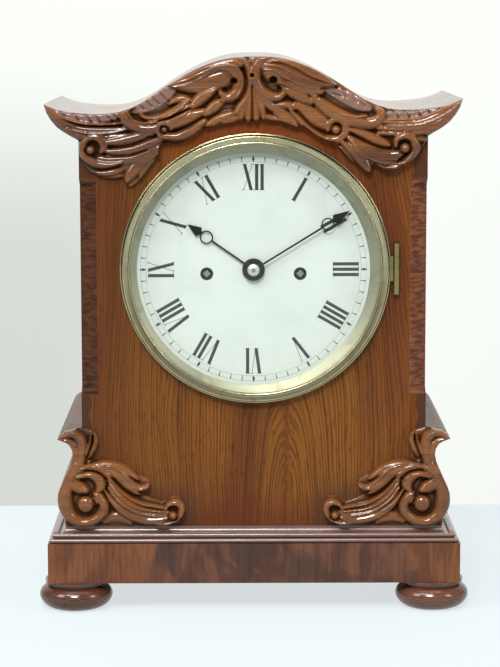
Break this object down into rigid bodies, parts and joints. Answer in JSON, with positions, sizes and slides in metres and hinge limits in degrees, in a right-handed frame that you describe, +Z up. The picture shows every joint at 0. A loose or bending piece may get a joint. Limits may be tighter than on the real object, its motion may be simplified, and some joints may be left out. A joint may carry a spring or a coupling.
{
  "type": "bracket clock",
  "caption": "Bracket clock: veneered case with carved cresting and corner scrolls, hinged glazed bezel over a round dial, glazed back door, fusee movement, pendulum and bell.",
  "frame": {"origin": "on the surface the clock stands on, under the middle of the case", "axes": "+X to the right as one faces the dial, +Y from the dial towards the back, +Z up"},
  "size_m": [0.3594, 0.2448, 0.4581],
  "materials": {
    "rosewood_veneer": "French-polished rosewood veneer",
    "carved_rosewood": "polished carved and turned rosewood",
    "back_wood": "polished hardwood",
    "carcase_wood": "bare softwood",
    "bezel_brass": "lacquered brass",
    "movement_brass": "polished brass",
    "steel": "polished steel",
    "dark_steel": "blued steel, nearly black",
    "silvered_brass": "satin silvering",
    "dial_paint": "painted, slightly glossy",
    "bell_metal": "turned bell metal",
    "clear_glass": "clear",
    "gut_line": "twisted gut"
  },
  "bodies": {
    "case": {"foot_front_left": "carved_rosewood", "foot_front_right": "carved_rosewood", "foot_back_left": "carved_rosewood", "foot_back_right": "carved_rosewood", "plinth": "rosewood_veneer", "plinth_moulding": "carved_rosewood", "case_floor": "carcase_wood", "front_panel": "rosewood_veneer", "left_side": "rosewood_veneer", "right_side": "rosewood_veneer", "left_console": "rosewood_veneer", "right_console": "rosewood_veneer", "left_corner_scroll": "carved_rosewood", "right_corner_scroll": "carved_rosewood", "roof": "rosewood_veneer", "cresting": "carved_rosewood", "back_frame": "back_wood", "seat_board": "carcase_wood", "seat_cleats": "carcase_wood", "door_hinge_fixed_halves": "bezel_brass", "bezel_hinge_case_leaf": "bezel_brass", "bezel_hinge_pin": "bezel_brass", "sight_ring": "silvered_brass", "dial_plate": "dial_paint", "dial_feet": "movement_brass", "front_plate": "movement_brass", "back_plate": "movement_brass", "pillars": "movement_brass", "fusee_lines": "gut_line", "back_cock": "movement_brass", "bell": "bell_metal", "bell_stand": "steel"},
    "back_door": {"back_door_frame": "back_wood", "back_door_glass": "clear_glass", "door_hinge_moving_halves": "bezel_brass"},
    "door_turn": {"back_door_turn": "bezel_brass"},
    "bezel_door": {"bezel": "bezel_brass", "bezel_glass": "clear_glass", "bezel_hinge_ring_leaf": "bezel_brass"},
    "centre_arbor": {"centre_wheel": "movement_brass", "cannon_wheel": "movement_brass", "minute_hand": "dark_steel", "hand_collet": "movement_brass"},
    "hour_pipe": {"hour_wheel": "movement_brass", "hour_hand": "dark_steel"},
    "minute_wheel_arbor": {"minute_wheel": "movement_brass"},
    "going_fusee_arbor": {"going_fusee": "movement_brass"},
    "going_barrel_arbor": {"going_barrel": "movement_brass"},
    "third_arbor": {"third_wheel": "movement_brass"},
    "escape_arbor": {"escape_wheel": "movement_brass"},
    "pallet_arbor": {"pallets": "steel"},
    "pendulum": {"pendulum_rod": "steel", "pendulum_bob": "movement_brass", "rating_nut": "movement_brass"},
    "pin_arbor": {"pin_wheel": "movement_brass"},
    "striking_fusee_arbor": {"striking_fusee": "movement_brass"},
    "striking_barrel_arbor": {"striking_barrel": "movement_brass"},
    "locking_arbor": {"locking_wheel": "movement_brass"},
    "fly_arbor": {"fly": "movement_brass"},
    "hammer_arbor": {"hammer": "steel"}
  },
  "joints": [
    {"name": "bezel_swing", "type": "hinge", "parent": "case", "child": "bezel_door", "pos_m": [0.1172, -0.09975, 0.2847], "axis": [0, 0, 1], "range_deg": [0, 110]},
    {"name": "back_door_swing", "type": "hinge", "parent": "case", "child": "back_door", "pos_m": [0.0997, 0.09975, 0.232], "axis": [0, 0, -1], "range_deg": [0, 110]},
    {"name": "back_door_turn_swing", "type": "hinge", "parent": "back_door", "child": "door_turn", "pos_m": [-0.0864, 0.0935, 0.232], "axis": [0, -1, 0], "range_deg": [0, 90]},
    {"name": "minute_hand_turn", "type": "hinge", "parent": "case", "child": "centre_arbor", "pos_m": [0, -0.0436, 0.2832], "axis": [0, 1, 0], "continuous": true},
    {"name": "hour_hand_turn", "type": "hinge", "parent": "case", "child": "hour_pipe", "pos_m": [0, -0.084, 0.2832], "axis": [0, 1, 0], "continuous": true},
    {"name": "minute_wheel_turn", "type": "hinge", "parent": "case", "child": "minute_wheel_arbor", "pos_m": [0, -0.0765, 0.25944], "axis": [0, 1, 0], "continuous": true},
    {"name": "going_fusee_turn", "type": "hinge", "parent": "case", "child": "going_fusee_arbor", "pos_m": [0.0386, -0.0436, 0.2796], "axis": [0, 1, 0], "continuous": true},
    {"name": "going_barrel_turn", "type": "hinge", "parent": "case", "child": "going_barrel_arbor", "pos_m": [0.044, -0.0436, 0.2212], "axis": [0, 1, 0], "continuous": true},
    {"name": "third_wheel_turn", "type": "hinge", "parent": "case", "child": "third_arbor", "pos_m": [0.00673, -0.0436, 0.30831], "axis": [0, 1, 0], "continuous": true},
    {"name": "escape_wheel_turn", "type": "hinge", "parent": "case", "child": "escape_arbor", "pos_m": [0, -0.0436, 0.32732], "axis": [0, 1, 0], "continuous": true},
    {"name": "pendulum_swing", "type": "hinge", "parent": "case", "child": "pendulum", "pos_m": [0, 0, 0.35132], "axis": [0, 1, 0], "range_deg": [-2.5, 2.5]},
    {"name": "pallet_rock", "type": "hinge", "parent": "case", "child": "pallet_arbor", "pos_m": [0, -0.0436, 0.35132], "axis": [0, 1, 0], "range_deg": [-2.5, 2.5]},
    {"name": "pin_wheel_turn", "type": "hinge", "parent": "case", "child": "pin_arbor", "pos_m": [-0.02499, -0.0436, 0.30878], "axis": [0, 1, 0], "continuous": true},
    {"name": "striking_fusee_turn", "type": "hinge", "parent": "case", "child": "striking_fusee_arbor", "pos_m": [-0.0386, -0.0436, 0.2796], "axis": [0, 1, 0], "continuous": true},
    {"name": "striking_barrel_turn", "type": "hinge", "parent": "case", "child": "striking_barrel_arbor", "pos_m": [-0.044, -0.0436, 0.2212], "axis": [0, 1, 0], "continuous": true},
    {"name": "locking_wheel_turn", "type": "hinge", "parent": "case", "child": "locking_arbor", "pos_m": [-0.03176, -0.0436, 0.32739], "axis": [0, 1, 0], "continuous": true},
    {"name": "fly_turn", "type": "hinge", "parent": "case", "child": "fly_arbor", "pos_m": [-0.02899, -0.0436, 0.34315], "axis": [0, 1, 0], "continuous": true},
    {"name": "hammer_lift", "type": "hinge", "parent": "case", "child": "hammer_arbor", "pos_m": [-0.0505, -0.03615, 0.32739], "axis": [0, -1, 0], "range_deg": [0, 8]}
  ],
  "couplings": [
    {"joint": "hour_hand_turn", "follows": "minute_hand_turn", "ratio": 0.083333},
    {"joint": "minute_wheel_turn", "follows": "minute_hand_turn", "ratio": -1},
    {"joint": "going_fusee_turn", "follows": "minute_hand_turn", "ratio": -0.083333},
    {"joint": "going_barrel_turn", "follows": "minute_hand_turn", "ratio": -0.062483},
    {"joint": "third_wheel_turn", "follows": "minute_hand_turn", "ratio": -12},
    {"joint": "escape_wheel_turn", "follows": "minute_hand_turn", "ratio": 132},
    {"joint": "pallet_rock", "follows": "pendulum_swing", "ratio": 1},
    {"joint": "striking_fusee_turn", "follows": "pin_wheel_turn", "ratio": -0.095238},
    {"joint": "striking_barrel_turn", "follows": "pin_wheel_turn", "ratio": -0.07141},
    {"joint": "locking_wheel_turn", "follows": "pin_wheel_turn", "ratio": -10},
    {"joint": "fly_turn", "follows": "pin_wheel_turn", "ratio": 90}
  ]
}
